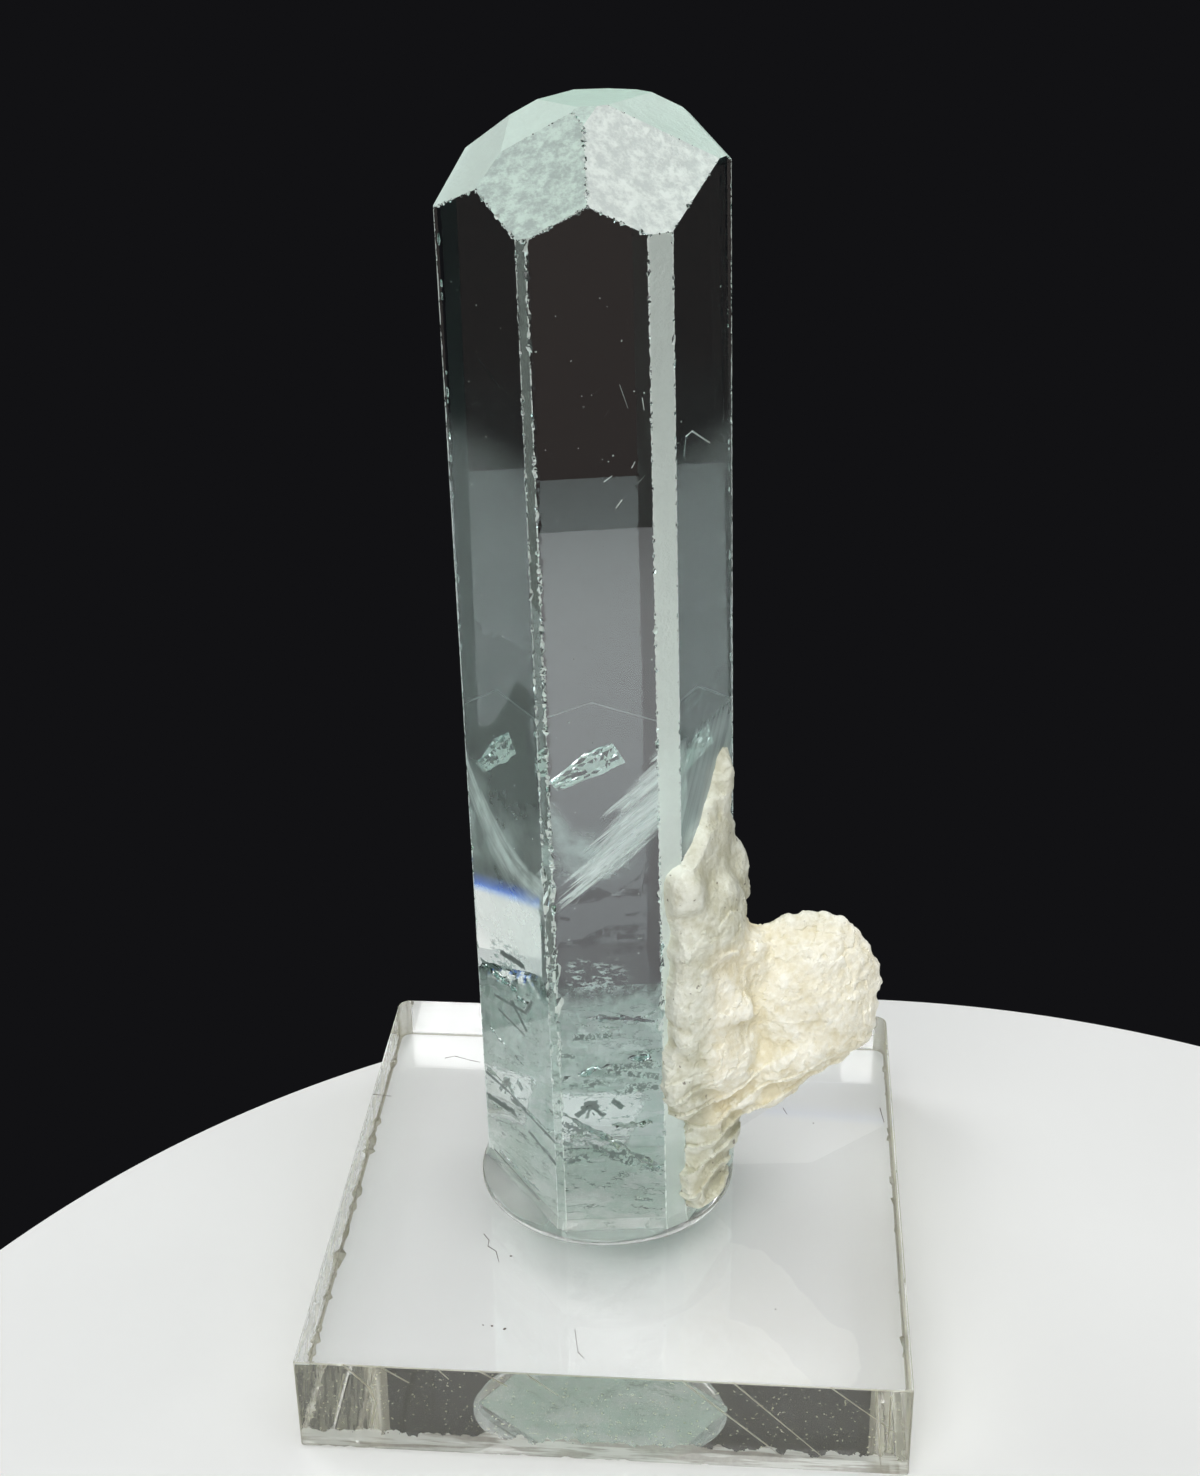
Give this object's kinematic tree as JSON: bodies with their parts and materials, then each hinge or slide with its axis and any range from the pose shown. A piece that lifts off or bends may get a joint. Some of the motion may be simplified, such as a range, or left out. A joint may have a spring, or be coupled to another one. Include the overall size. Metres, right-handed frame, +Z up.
{
  "type": "aquamarine crystal specimen",
  "caption": "Tall clear aquamarine prism with a frosted end and cream feldspar on its side, glued upright on a clear square block.",
  "frame": {"origin": "middle of the block's underside, on the surface that the specimen stands on", "axes": "+Z up along the crystal, -Y towards the front, +X towards the feldspar fan"},
  "size_m": [0.035, 0.037, 0.0722],
  "materials": {
    "clear_acrylic": "polished clear acrylic, edges lightly chipped and scratched",
    "clear_glue": "clear glossy set glue",
    "aquamarine": "clear pale blue-green crystal, glossy prism faces, frosted end faces",
    "feldspar": "cream, granular and slightly waxy"
  },
  "bodies": {
    "root": {"clear_base": "clear_acrylic", "glue_pad": "clear_glue", "aquamarine_crystal": "aquamarine", "feldspar_matrix": "feldspar"}
  },
  "joints": []
}
